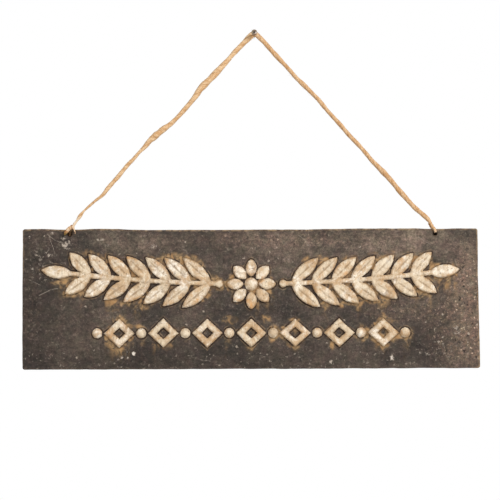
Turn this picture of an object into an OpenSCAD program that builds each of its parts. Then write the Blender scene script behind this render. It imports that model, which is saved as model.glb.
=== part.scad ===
// Pressed sheet-steel hanging sign: a hemmed plate with raised ornament, tied to a length
// of jute twine that hangs over one nail. Millimetres, +Z up, the front faces -Y and the
// wall's face is the plane Y = 0. The origin is on the nail's axis, where it enters the wall.

/* [Plate] */
// Width of the plate
plate_w = 457; // [420:1:520]
// Height of the plate
plate_h = 140; // [132:0.5:170]
// Radius of the plate's corners
corner_r = 2.5; // [2:0.5:8]
// Thickness of the sheet steel
sheet_t = 0.8; // [0.6:0.1:1.2]
// Width of the edge that is folded back behind the plate
hem_w = 8; // [7:0.5:12]
// Width of the mitre slit at each rear corner of the hem
mitre_slit = 0.6; // [0.3:0.1:1.5]
// Diameter of the two punched hanging holes
hole_d = 4; // [3.8:0.1:5]
// Depth of the holes' centres below the top edge
hole_drop = 5; // [4.5:0.1:6.5]
// Distance from the left edge to the left hole
left_hole_in = 47; // [40:0.5:60]
// Distance from the right edge to the right hole
right_hole_in = 43; // [40:0.5:60]

/* [Relief] */
// Height of the raised ornament above the plate's ground
relief_h = 3.2; // [2:0.1:4]
// Height of the low shelf that the die leaves round each raised form
shelf_h = 0.5; // [0.3:0.1:0.8]
// Width of that shelf
shelf_w = 1.8; // [1:0.1:2.4]
// Height of the step that softens the top of each raised form
crown_h = 0.9; // [0.5:0.1:1.2]
// How far the top is drawn in at that step
crown_in = 0.8; // [0.4:0.1:1]

/* [Laurel branches] */
// Depth of the rosette's centre below the top edge
rosette_drop = 55; // [48:0.5:62]
// Diameter across the rosette's petals
rosette_d = 50; // [40:1:54]
// Diameter of the rosette's boss
boss_d = 13; // [9:0.5:15]
// Width of one petal
petal_w = 11; // [8:0.5:12]
// Distance from the rosette's centre to the start of a stem
stem_start = 32; // [31:0.5:36]
// Distance from the rosette's centre to the end of a stem
stem_end = 186; // [150:1:190]
// Width of a stem
stem_w = 5; // [4:0.5:7]
// Diameter of the bud at the start of a stem
bud_d = 8; // [6:0.5:9]
// Radius of the stems' long curve
stem_r = 1500; // [900:50:3000]
// Length of the leaves next to the rosette
leaf_l = 38; // [30:1:40]
// Width of the leaves
leaf_w = 13; // [10:0.5:14]
// How much shorter each leaf is than the one before it
leaf_step = 1; // [0:0.25:1.5]
// Angle between a leaf and its stem
leaf_angle = 41; // [32:1:46]
// Pairs of leaves on each stem
leaf_pairs = 7; // [4:1:7]
// Width of the sunk rib along a leaf
rib_w = 1.6; // [1:0.2:2]
// Depth of that rib
rib_depth = 0.4; // [0.2:0.1:0.5]

/* [Lozenge row] */
// Depth of the row's middle line below the top edge
row_drop = 104; // [98:0.5:108]
// Width of a lozenge
lozenge_w = 31; // [24:0.5:32]
// Height of a lozenge
lozenge_h = 29; // [20:0.5:30]
// Width of the raised band of a lozenge
lozenge_band = 6.5; // [5:0.5:8]
// Number of lozenges
lozenges = 7; // [3:2:7]
// Distance from one lozenge to the next
lozenge_pitch = 44; // [42:1:48]
// Diameter of the beads between them
bead_d = 10; // [8:0.5:11]

/* [Nail] */
// Length of the clout nail under its head
nail_l = 25; // [23:1:32]
// Diameter of the nail's shank
nail_d = 2.2; // [2:0.1:2.6]
// Diameter of the nail's head
head_d = 5.9; // [5:0.1:7]
// Thickness of the nail's head
head_t = 1.1; // [0.8:0.1:1.6]
// Length of the four-sided point
point_l = 3.4; // [2.5:0.1:5]
// Length of the shank that stands out of the wall
nail_proud = 15.6; // [14:0.1:18]
// Angle at which the nail is driven, head up
nail_tilt = 4; // [1:1:10]
// Number of grip rings rolled into the shank under the head
grip_rings = 8; // [4:1:9]

/* [Hanging] */
// Height of the origin above the plate's top edge
hang_h = 196; // [195:0.5:197]
// How far the nail is to the right of the plate's middle
nail_shift = 3.8; // [2.5:0.1:5]
// Distance from the wall to the plane in which the twine and the plate hang
stand_off = 5; // [4.8:0.1:6]
// Radius of the twine in its loops, where it is pulled tight
loop_r = 1.3; // [1:0.1:1.4]

/* [Hidden] */
$fn = 64;
eps = 0.01;

// Clearance between a loop of twine and the steel that it passes
twine_gap = 0.3;

// Places on the plate, from its middle and its top edge
plate_x = -nail_shift;
top_z = -hang_h;
hole_r = hole_d / 2;
hole_x = [plate_x - plate_w / 2 + left_hole_in, plate_x + plate_w / 2 - right_hole_in];
hole_z = top_z - hole_drop;
hem_r = sheet_t;

// A leaf outline: two circles that cross at its tips, each drawn in by inset
module leaf_outline(len, wid, inset = 0) {
    arc_r = (len * len + wid * wid) / (4 * wid);
    intersection() {
        translate([len / 2, wid / 2 - arc_r])
            circle(r = arc_r - inset, $fn = 120);
        translate([len / 2, arc_r - wid / 2])
            circle(r = arc_r - inset, $fn = 120);
    }
}

// Length of leaf pair i, and the place on the stem where its two leaves start
function pair_len(i) = leaf_l - i * leaf_step;
leaf_pitch = (stem_end - stem_start - 14) / leaf_pairs;
function pair_at(i) = stem_start + 8 + i * leaf_pitch;
// Angle and height of the stem's long curve at distance d from the rosette
function stem_turn(d) = asin(d / stem_r);
function stem_rise(d) = stem_r * (1 - cos(stem_turn(d)));

module at_stem(d) {
    translate([d, stem_rise(d)])
        rotate(stem_turn(d))
            children();
}

module leaves(inset = 0) {
    for (i = [0 : leaf_pairs - 1])
        for (side = [-1, 1])
            at_stem(pair_at(i))
                rotate(side * leaf_angle)
                    leaf_outline(pair_len(i), leaf_w, inset);
    at_stem(stem_end - 8)
        leaf_outline(leaf_l - 6, leaf_w, inset);
}

module stem(inset = 0) {
    intersection() {
        translate([0, stem_r])
            difference() {
                circle(r = stem_r + stem_w / 2 - inset, $fn = 720);
                circle(r = stem_r - stem_w / 2 + inset, $fn = 720);
            }
        translate([stem_start + inset, -stem_w])
            square([stem_end - stem_start - 2 * inset, 2 * stem_w + stem_rise(stem_end)]);
    }
}

module branch(inset = 0) {
    leaves(inset);
    stem(inset);
    at_stem(stem_start)
        circle(r = bud_d / 2 - inset);
}

petals = 8;
module rosette(inset = 0) {
    petal_l = rosette_d / 2 - boss_d / 2 - 1;
    for (i = [0 : petals - 1])
        rotate(i * 360 / petals)
            translate([boss_d / 2 + 1, 0])
                leaf_outline(petal_l, petal_w, inset);
}

// A rhombus with its sides moved in by inset
module rhombus(w, h, inset = 0) {
    less = inset * sqrt(w * w + h * h);
    half_w = w / 2 - less / h;
    half_h = h / 2 - less / w;
    polygon([[half_w, 0], [0, half_h], [-half_w, 0], [0, -half_h]]);
}

row_half = (lozenges - 1) / 2;
module lozenge_row(inset = 0) {
    for (i = [-row_half : row_half])
        translate([i * lozenge_pitch, 0])
            difference() {
                rhombus(lozenge_w, lozenge_h, inset);
                rhombus(lozenge_w, lozenge_h, lozenge_band - inset);
            }
}

// Everything raised with a flat top, from the plate's middle and its top edge
module raised_forms(inset = 0) {
    translate([0, -rosette_drop]) {
        branch(inset);
        mirror([1, 0])
            branch(inset);
        rosette(inset);
    }
    translate([0, -row_drop])
        lozenge_row(inset);
}

// The sunk ribs of the leaves
module ribs() {
    for (turn = [0, 1])
        translate([0, -rosette_drop])
            mirror([turn, 0])
                for (i = [0 : leaf_pairs - 1])
                    for (side = [-1, 1])
                        at_stem(pair_at(i))
                            rotate(side * leaf_angle)
                                translate([pair_len(i) * 0.22, 0])
                                    leaf_outline(pair_len(i) * 0.66, rib_w);
}

// The ball whose cap is a bead or boss of base diameter d, drawn in by inset
module ball(d, inset = 0) {
    ball_r = (d * d / 4 + relief_h * relief_h) / (2 * relief_h);
    translate([0, 0, relief_h - ball_r])
        sphere(r = ball_r - inset);
}

// The boss of the rosette and the beads of the row, as balls that the plate cuts to caps
module balls(inset = 0) {
    translate([0, -rosette_drop, 0])
        ball(boss_d, inset);
    for (i = [-row_half - 1 : row_half])
        translate([(i + 0.5) * lozenge_pitch, -row_drop, 0])
            ball(bead_d, inset);
}

module front_caps() {
    intersection() {
        balls();
        translate([-plate_w / 2, -plate_h, 0])
            cube([plate_w, plate_h, 2 * relief_h]);
    }
}

module rounded_sheet(inset, thick) {
    w = plate_w - 2 * inset;
    h = plate_h - 2 * inset;
    r = corner_r - inset;
    linear_extrude(thick)
        translate([0, -plate_h / 2])
            union() {
                square([w - 2 * r, h], center = true);
                square([w, h - 2 * r], center = true);
                for (sx = [-1, 1], sy = [-1, 1])
                    translate([sx * (w / 2 - r), sy * (h / 2 - r)])
                        circle(r = r);
            }
}

// The round outside of the folded hem: a rod along each side and a bend at each corner
module hem_fold() {
    along = plate_w - 2 * corner_r;
    up = plate_h - 2 * corner_r;
    translate([0, -plate_h / 2, 0]) {
        for (side = [-1, 1]) {
            translate([-along / 2, side * (plate_h / 2 - hem_r), 0])
                rotate([0, 90, 0])
                    cylinder(r = hem_r, h = along, $fn = 32);
            translate([side * (plate_w / 2 - hem_r), up / 2, 0])
                rotate([90, 0, 0])
                    cylinder(r = hem_r, h = up, $fn = 32);
        }
        for (sx = [0, 1], sy = [0, 1])
            mirror([sx, 0, 0])
                mirror([0, sy, 0])
                    translate([along / 2, up / 2, 0])
                        rotate_extrude(angle = 90)
                            translate([corner_r - hem_r, 0])
                                circle(r = hem_r, $fn = 32);
    }
}

// The folded-back strip behind the edge, slit at its four mitred corners
module hem_return() {
    translate([0, 0, -sheet_t])
        difference() {
            rounded_sheet(hem_r, sheet_t + eps);
            translate([0, -plate_h / 2, 0])
                cube([plate_w - 2 * hem_w, plate_h - 2 * hem_w, 4 * sheet_t], center = true);
            for (sx = [-1, 1], sy = [-1, 1])
                translate([sx * (plate_w / 2 - hem_w), -plate_h / 2 + sy * (plate_h / 2 - hem_w), 0])
                    rotate(sx * sy * 45)
                        translate([0, 0, -eps])
                            cube([2 * (hem_w - 2 * hem_r), mitre_slit, 2 * sheet_t], center = true);
        }
}

// The plate lying on its back, with its top edge on the X axis and its front up
module flat_plate() {
    difference() {
        union() {
            rounded_sheet(hem_r, sheet_t);
            hem_fold();
            hem_return();
            translate([0, 0, sheet_t - eps]) {
                linear_extrude(shelf_h + eps)
                    raised_forms(-shelf_w);
                linear_extrude(relief_h - crown_h + eps)
                    raised_forms();
                linear_extrude(relief_h + eps)
                    raised_forms(crown_in);
                front_caps();
            }
        }
        translate([0, 0, -eps])
            linear_extrude(relief_h + eps)
                raised_forms(crown_in + sheet_t / 2);
        translate([0, 0, sheet_t])
            balls(sheet_t);
        translate([0, 0, sheet_t + relief_h - rib_depth])
            linear_extrude(2 * rib_depth)
                ribs();
        for (x = hole_x)
            translate([x - plate_x, -hole_drop, -2 * sheet_t])
                cylinder(r = hole_r, h = 4 * sheet_t);
    }
}

module sign_plate() {
    color([0.24, 0.21, 0.2])
        translate([plate_x, -stand_off, top_z])
            rotate([90, 0, 0])
                flat_plate();
}

// Grip rings: shallow grooves from 3 mm under the head, in a stretch a little under gauge,
// each land and the stretch above them slightly tapered
ring_pitch = 1.25;
ring_depth = 0.14;
ring_start = 3;
grip_r = nail_d / 2 - 0.05;
land_r = grip_r - 0.03;
grip_end = ring_start + grip_rings * ring_pitch;
function ring_groove(i) = let (z = ring_start + i * ring_pitch) [
    [grip_r, z],
    [grip_r - ring_depth, z + ring_pitch * 0.25],
    [grip_r - ring_depth, z + ring_pitch * 0.5],
    [land_r, z + ring_pitch * 0.6]
];

// The nail along +Z, with the underside of its head at 0 and its point up
module straight_nail() {
    head_edge = 0.3;
    point_r = nail_d / 2 - 0.03;
    point_z = nail_l - point_l;
    difference() {
        rotate_extrude($fn = 48)
            polygon(concat(
                [[0, -head_t], [head_d * 0.3, -head_t], [head_d / 2 - head_edge, -head_t + head_edge / 2]],
                [[head_d / 2, -head_t + head_edge * 1.5], [head_d / 2, -head_edge]],
                [[head_d / 2 - head_edge, 0], [land_r + head_edge, 0], [land_r, head_edge * 2]],
                [for (i = [0 : grip_rings - 1]) each ring_groove(i)],
                [[grip_r, grip_end], [nail_d / 2, grip_end + head_edge], [nail_d / 2, point_z]],
                [[point_r, point_z], [point_r - head_edge, nail_l], [0, nail_l]]
            ));
        for (turn = [0 : 3])
            rotate(turn * 90)
                translate([0, 0, nail_l])
                    rotate([0, -atan(point_r / point_l), 0])
                        translate([0, -nail_d, -2 * point_l])
                            cube([2 * nail_d, 2 * nail_d, 3 * point_l]);
    }
}

module nail() {
    color([0.36, 0.25, 0.2])
        rotate([-(90 + nail_tilt), 0, 0])
            translate([0, 0, -nail_proud])
                straight_nail();
}

// A tube through points, with a radius at each one; ref is never along the route
function unit(v) = v / norm(v);
function way(p, i) = unit(p[min(i + 1, len(p) - 1)] - p[max(i - 1, 0)]);
function ring(p, r, i, ref, sides) = let (
    t = way(p, i),
    n = unit(cross(ref, t)),
    b = cross(t, n)
) [for (k = [0 : sides - 1]) p[i] + r[i] * (cos(k * 360 / sides) * n + sin(k * 360 / sides) * b)];

module tube(p, r, ref, sides = 8) {
    last = len(p) - 1;
    polyhedron(
        points = [for (i = [0 : last]) each ring(p, r, i, ref, sides)],
        faces = concat(
            [[for (k = [0 : sides - 1]) k]],
            [for (i = [0 : last - 1]) for (k = [0 : sides - 1]) each let (
                a = i * sides + k,
                b = i * sides + (k + 1) % sides
            ) [[a, a + sides, b + sides], [a, b + sides, b]]],
            [[for (k = [sides - 1 : -1 : 0]) last * sides + k]]
        )
    );
}

// A smooth curve through hand-placed points, steps rings to each stretch
function spline(p, i, u) = let (
    a = p[max(i - 1, 0)],
    b = p[i],
    c = p[i + 1],
    d = p[min(i + 2, len(p) - 1)]
) (2 * b + (c - a) * u + (2 * a - 5 * b + 4 * c - d) * u * u + (3 * b - a - 3 * c + d) * u * u * u) / 2;
function curve(p, steps) = concat(
    [for (i = [0 : len(p) - 2]) for (s = [0 : steps - 1]) spline(p, i, s / steps)],
    [p[len(p) - 1]]
);
function xyz(p) = [for (q = p) [q[0], q[1], q[2]]];
function radii(p) = [for (q = p) q[3]];

// The height above the top edge at which each strand ends and the plate tilts
pivot_up = 5.5;
pivot_z = top_z + pivot_up;

// Strands of the twine from the nail down, as [x, z, radius], where they hang
left_route = [
    [-12.5, -10, 2.5], [-27, -25.5, 2.3], [-42, -41.5, 2.8], [-50, -49.5, 3], [-57, -58.5, 2.6],
    [-69.5, -74, 2.2], [-85, -90, 2.3], [-95.5, -98.5, 2.8], [-105, -106, 2.4], [-119, -122, 1.8],
    [-140, -146, 2.1], [-154, -162, 1.7], [-163.5, -170, 1.5], [-172, -178.5, 1.4], [-177.5, -185, 1.4]
];
right_route = [
    [11.5, -10, 2.2], [26, -25.5, 2], [40, -41, 2.1], [56.5, -57.5, 2], [71, -73.5, 1.9],
    [85.5, -90, 2.1], [99.5, -105.5, 2], [114, -122, 2.1], [128.5, -138, 2.6], [142.5, -153.5, 2.5],
    [156.5, -169.5, 2.3], [164, -177, 2.2], [171.5, -183.7, 1.9]
];
// Each strand ends above its hole, a little nearer to the nail
left_end_x = hole_x[0] + 4.3;
right_end_x = hole_x[1] - 4.1;
end_r = 1.4;

// The bight over the shank: an arc round the nail's axis in the hanging plane
shank_z = stand_off * tan(nail_tilt);
bight_r = 2;
shank_half = nail_d / 2 / cos(nail_tilt) + bight_r * tan(nail_tilt);
bight_arc_r = shank_half + twine_gap + bight_r;
bight = [
    for (a = [132 : -12 : 48])
        [bight_arc_r * cos(a), -stand_off, shank_z + bight_arc_r * sin(a), bight_r]
];

function hung(route) = [for (q = route) [q[0], -stand_off, q[1], q[2]]];
function reversed(p) = [for (i = [len(p) - 1 : -1 : 0]) p[i]];
left_end = [left_end_x, -stand_off, pivot_z, end_r];
right_end = [right_end_x, -stand_off, pivot_z, end_r];
left_strand = curve(concat([left_end], reversed(hung(left_route))), 2);
right_strand = curve(concat(hung(right_route), [right_end]), 2);

// A round end beyond point q, in direction t
function cap(q, t) = [for (a = [30, 60, 84])
    let (p = [q[0], q[1], q[2]] + t * q[3] * sin(a)) [p[0], p[1], p[2], q[3] * cos(a)]];

module hanging_twine() {
    down_left = unit(xyz(left_strand)[0] - xyz(left_strand)[1]);
    down_right = unit(xyz([right_end])[0] - xyz(right_strand)[len(right_strand) - 2]);
    route = concat(reversed(cap(left_end, down_left)), left_strand, bight, right_strand,
        cap(right_end, down_right));
    color([0.86, 0.68, 0.47])
        tube(xyz(route), radii(route), [0, 1, 0]);
}

// A loop's turn through a hole: an arc round the strip of steel above the hole
leg_y = sheet_t + twine_gap + loop_r + 0.1;
turn_up = hole_r + sqrt(pow(leg_y - loop_r - twine_gap, 2) - pow(sheet_t, 2));
function hole_turn() = [for (a = [0 : 30 : 180]) [0, -leg_y * cos(a), turn_up - leg_y * sin(a)]];

// Points of a loop, from its hole's centre in the hanging plane
function on_hole(p, side) = [for (q = p) q + [hole_x[side], -stand_off, hole_z]];
function same(r, n) = [for (i = [1 : n]) r];

left_front = [[3.5, -0.8, 8.7], [3, -1.9, 7.1], [2.1, -2.7, 5.4]];
left_back = [[0, leg_y, 4.8], [-0.2, 1.9, 6.5], [-0.2, 0, 6.9], [-0.4, -1.9, 6.6], [-0.9, -3.2, 5.9]];
right_front = [[-3.5, -0.8, 8.6], [-2.7, -1.9, 7], [-1.1, -2.7, 5.2]];
right_back = [[-0.9, leg_y, 4.6], [-2.2, 2.5, 6.2], [-3.3, 1.9, 7.6]];

module loop(front, back, side) {
    route = on_hole(concat(front, hole_turn(), back), side);
    color([0.84, 0.66, 0.46])
        tube(route, same(loop_r, len(route)), [1, 0, 0]);
}

module left_loop() {
    loop(left_front, left_back, 0);
}

module right_loop() {
    loop(right_front, right_back, 1);
}

// Two turns of twine pulled tight round their own core, about +Z
module two_turns(core_r) {
    turn_r = loop_r * 0.75;
    rotate_extrude($fn = 32)
        union() {
            translate([0, -turn_r])
                square([core_r + turn_r / 2, 2 * turn_r]);
            for (side = [-1, 1])
                translate([core_r + turn_r / 2, side * turn_r * 0.85])
                    circle(r = turn_r, $fn = 24);
        }
}

module left_knot() {
    color([0.72, 0.48, 0.28])
        translate([hole_x[0] + 0.6, -stand_off - leg_y - 1, top_z + 0.4])
            rotate([0, 45, 0])
                two_turns(1);
}

module right_knot() {
    color([0.8, 0.62, 0.42])
        translate([hole_x[1] - 2.9, -stand_off, hole_z + 7.3])
            rotate([0, -8, 0])
                two_turns(1.1);
}

// The two loose ends below the left knot, as [x, y, z, radius] from the hole
left_tail = [[-1.4, -4.6, 4, 1.1], [-2.8, -4.8, 2.4, 1.3], [-4, -4.5, 0.4, 1.2], [-4.8, -3.9, -1.6, 0.8]];
right_tail = [[0.2, -4.8, 4.2, 0.9], [2.9, -5, 3.4, 0.9], [4.4, -4.7, 1, 0.7], [5.6, -4.1, -1.6, 0.5]];

module left_tails() {
    color([0.7, 0.6, 0.4])
        for (tail = [left_tail, right_tail])
            tube(on_hole(xyz(tail), 0), radii(tail), [0, 1, 0]);
}

sign_plate();
nail();
hanging_twine();
left_loop();
left_knot();
left_tails();
right_loop();
right_knot();
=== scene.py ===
"""A hanging sign of pressed steel with raised laurel ornament, tied to jute twine over a nail."""

import math

import bpy
import numpy as np
from mathutils import Matrix, Vector


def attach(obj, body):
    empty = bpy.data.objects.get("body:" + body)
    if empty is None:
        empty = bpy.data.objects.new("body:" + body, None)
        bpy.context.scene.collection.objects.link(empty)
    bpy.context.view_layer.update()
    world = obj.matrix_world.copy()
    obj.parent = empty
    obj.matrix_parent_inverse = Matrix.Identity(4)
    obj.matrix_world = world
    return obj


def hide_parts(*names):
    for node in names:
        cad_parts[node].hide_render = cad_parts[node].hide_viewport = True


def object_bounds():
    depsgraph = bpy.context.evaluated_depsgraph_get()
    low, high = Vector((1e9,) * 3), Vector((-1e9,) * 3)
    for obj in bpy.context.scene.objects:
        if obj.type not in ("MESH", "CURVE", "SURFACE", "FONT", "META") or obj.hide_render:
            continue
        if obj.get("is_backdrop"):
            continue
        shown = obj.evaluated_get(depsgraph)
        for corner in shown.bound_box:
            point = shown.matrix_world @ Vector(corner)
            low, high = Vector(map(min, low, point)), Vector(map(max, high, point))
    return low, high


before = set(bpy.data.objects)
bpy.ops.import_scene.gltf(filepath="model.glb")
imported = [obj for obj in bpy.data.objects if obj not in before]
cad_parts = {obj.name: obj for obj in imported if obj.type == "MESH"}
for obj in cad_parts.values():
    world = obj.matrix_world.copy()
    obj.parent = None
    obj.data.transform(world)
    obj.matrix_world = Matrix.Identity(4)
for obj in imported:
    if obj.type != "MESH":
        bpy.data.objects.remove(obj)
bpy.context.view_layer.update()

# The camera: a long lens a little to the left of the sign's middle, turned back towards it.
IMAGE_SIDE = 500
LENS_PIXELS = 1389.8
camera_data = bpy.data.cameras.new("camera")
camera_data.sensor_width = 36
camera_data.lens = LENS_PIXELS * camera_data.sensor_width / IMAGE_SIDE
camera_data.clip_end = 50
camera = bpy.data.objects.new("camera", camera_data)
bpy.context.scene.collection.objects.link(camera)
bpy.context.scene.camera = camera
turned = Matrix.Rotation(math.radians(-1.12), 4, "Z")
tipped = Matrix.Rotation(math.radians(90 + 2.218), 4, "X")
rolled = Matrix.Rotation(math.radians(-0.183), 4, "Z")
camera.matrix_world = Matrix.Translation((-0.0321, -1.4, -0.2709)) @ turned @ tipped @ rolled
bpy.context.scene.view_settings.view_transform = "Standard"

# The twine's two strands: one length of two-ply jute over the nail, thick and thin by turns
# as it was spun. Lengths here are in millimetres, in the sign's own frame: +Z up, front to -Y.
MM = 0.001
HANG_Y = -5.0
SHANK_Z = 0.35
BIGHT_R = 3.54
LEFT_END = (-181.0, -190.5, 1.4)
RIGHT_END = (177.6, -190.5, 1.4)
left_route = [
    (-12.5, -10, 2.5), (-27, -25.5, 2.3), (-42, -41.5, 2.8), (-50, -49.5, 3), (-57, -58.5, 2.6),
    (-69.5, -74, 2.2), (-85, -90, 2.3), (-95.5, -98.5, 2.8), (-105, -106, 2.4), (-119, -122, 1.8),
    (-140, -146, 2.1), (-154, -162, 1.7), (-163.5, -170, 1.5), (-172, -178.5, 1.4),
    (-177.5, -185, 1.4), LEFT_END,
]
right_route = [
    (11.5, -10, 2.2), (26, -25.5, 2), (40, -41, 2.1), (56.5, -57.5, 2), (71, -73.5, 1.9),
    (85.5, -90, 2.1), (99.5, -105.5, 2), (114, -122, 2.1), (128.5, -138, 2.6), (142.5, -153.5, 2.5),
    (156.5, -169.5, 2.3), (164, -177, 2.2), (171.5, -183.7, 1.9), RIGHT_END,
]
bight = [
    (BIGHT_R * math.cos(math.radians(a)), SHANK_Z + BIGHT_R * math.sin(math.radians(a)), 2.0)
    for a in range(132, 47, -12)
]
rng = np.random.default_rng(41)


def spline(points, steps):
    """A smooth line through points, each a position and a radius, with steps to each stretch."""
    p = np.array(points, float)
    p = np.vstack([2 * p[0] - p[1], p, 2 * p[-1] - p[-2]])
    out = []
    for i in range(1, len(p) - 2):
        a, b, c, d = p[i - 1 : i + 3]
        for u in np.arange(steps) / steps:
            out.append(
                0.5 * (2 * b + (c - a) * u + (2 * a - 5 * b + 4 * c - d) * u**2
                       + (3 * b - a - 3 * c + d) * u**3)
            )
    out.append(p[-2])
    return np.array(out)


def evenly(line, step):
    """The same line with a point every step millimetres, and each point's distance along it."""
    lengths = np.linalg.norm(np.diff(line[:, :3], axis=0), axis=1)
    along = np.concatenate([[0], np.cumsum(lengths)])
    count = max(4, round(along[-1] / step))
    at = np.linspace(0, along[-1], count + 1)
    return np.stack([np.interp(at, along, line[:, k]) for k in range(line.shape[1])], 1), at


def wander(at, wavelength, generator):
    """A smooth random line through at, from -1 to 1, with about that wavelength."""
    knots = generator.uniform(-1, 1, int(at[-1] / wavelength) + 5)
    t = at / wavelength
    i = t.astype(int)
    f = t - i
    f = f * f * (3 - 2 * f)
    return knots[i] * (1 - f) + knots[i + 1] * f


def carried_frames(p):
    """Two directions square to the line at each of its points, carried along without twist."""
    t = np.gradient(p, axis=0)
    t /= np.linalg.norm(t, axis=1)[:, None]
    side = np.cross(t[0], (0.3, 1, 0.2))
    normals = []
    for tangent in t:
        side = side - tangent * (side @ tangent)
        side /= np.linalg.norm(side)
        normals.append(side.copy())
    normals = np.array(normals)
    return t, normals, np.cross(t, normals)


def two_ply(line, lay, turn=0.0, sides=22, step=0.75, loose=0.08):
    """One closed twisted cord along line: points, faces, and what its material reads.

    Its section is two round plies pressed together, each with a radius of ply times the
    cord's, which turn once in each lay. The cord is drawn a little fuller for the waist."""
    line, at = evenly(line, step)
    centre, radius = line[:, :3], line[:, 3].copy()
    radius *= 1 + loose * wander(at, 8, rng) + loose * 0.6 * wander(at, 2.6, rng)
    t, n, b = carried_frames(centre)
    angle = np.arange(sides) * 2 * np.pi / sides
    twist = turn + 2 * np.pi * (at / lay + 0.13 * wander(at, 11, rng))
    ply, fuller = 0.92, 1.05
    radius *= fuller
    own = angle[None, :] - twist[:, None]
    lobe = (1 - ply) * np.abs(np.cos(own)) + np.sqrt(ply**2 - ((1 - ply) * np.sin(own)) ** 2)
    r = radius[:, None] * lobe
    ring = (
        centre[:, None, :]
        + r[:, :, None] * (np.cos(angle)[None, :, None] * n[:, None, :]
                           + np.sin(angle)[None, :, None] * b[:, None, :])
    )
    points = ring.reshape(-1, 3)
    count = len(at)
    faces = []
    for i in range(count - 1):
        for k in range(sides):
            a, c = i * sides + k, i * sides + (k + 1) % sides
            faces.append((a, c, c + sides, a + sides))
    # rounded ends: two smaller rings and a tip
    crown = np.abs(np.cos(own)).ravel()
    fibre = np.stack([r * np.cos(own), r * np.sin(own), np.broadcast_to(at[:, None], r.shape)], 2)
    fibre = fibre.reshape(-1, 3)
    points, crown, fibre = [points], [crown], [fibre]
    made = count * sides
    for end, out in ((0, -1), (count - 1, 1)):
        last = end * sides
        for share, beyond in ((0.72, 0.45), (0.36, 0.75)):
            middle = centre[end] + out * t[end] * radius[end] * beyond
            points.append(middle + (ring[end] - centre[end]) * share)
            crown.append(crown[0][end * sides : end * sides + sides])
            fibre.append(fibre[0][end * sides : end * sides + sides] * (share, share, 1))
            for k in range(sides):
                a, c = last + k, last + (k + 1) % sides
                d, e = made + (k + 1) % sides, made + k
                faces.append((a, c, d, e) if out > 0 else (a, e, d, c))
            last = made
            made += sides
        points.append((centre[end] + out * t[end] * radius[end] * 0.9)[None])
        crown.append(np.ones(1))
        fibre.append(np.array([[0, 0, at[end]]]))
        for k in range(sides):
            a, c = last + k, last + (k + 1) % sides
            faces.append((a, c, made) if out > 0 else (a, made, c))
        made += 1
    return np.vstack(points), faces, {"crown": np.concatenate(crown), "fibre": np.vstack(fibre)}


def joined(parts):
    """Several meshes as one: points, faces and values, with the faces renumbered."""
    points, faces, values = [], [], {}
    start = 0
    for p, f, v in parts:
        points.append(p)
        faces += [tuple(i + start for i in face) for face in f]
        start += len(p)
        for key, value in v.items():
            values.setdefault(key, []).append(value)
    return np.vstack(points), faces, {k: np.concatenate(v) for k, v in values.items()}


def piece(name, points, faces, values=None, smooth=True):
    """A named object from points in millimetres, with its per-point values as attributes."""
    mesh = bpy.data.meshes.new(name)
    mesh.from_pydata((np.asarray(points) * MM).tolist(), [], faces)
    for key, value in (values or {}).items():
        kind = "FLOAT_VECTOR" if value.ndim == 2 else "FLOAT"
        attribute = mesh.attributes.new(key, kind, "POINT")
        attribute.data.foreach_set(
            "vector" if value.ndim == 2 else "value", value.astype(np.float32).ravel()
        )
    mesh.polygons.foreach_set("use_smooth", np.full(len(mesh.polygons), smooth))
    mesh.validate()
    mesh.update()
    obj = bpy.data.objects.new(name, mesh)
    bpy.context.scene.collection.objects.link(obj)
    return obj


def hung(route):
    """A route in the hanging plane as points in space."""
    return [(x, HANG_Y, z, r) for x, z, r in route]


strand_line = spline(hung(left_route[::-1] + bight + right_route), 8)
strand_line, _ = evenly(strand_line, 0.75)

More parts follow.
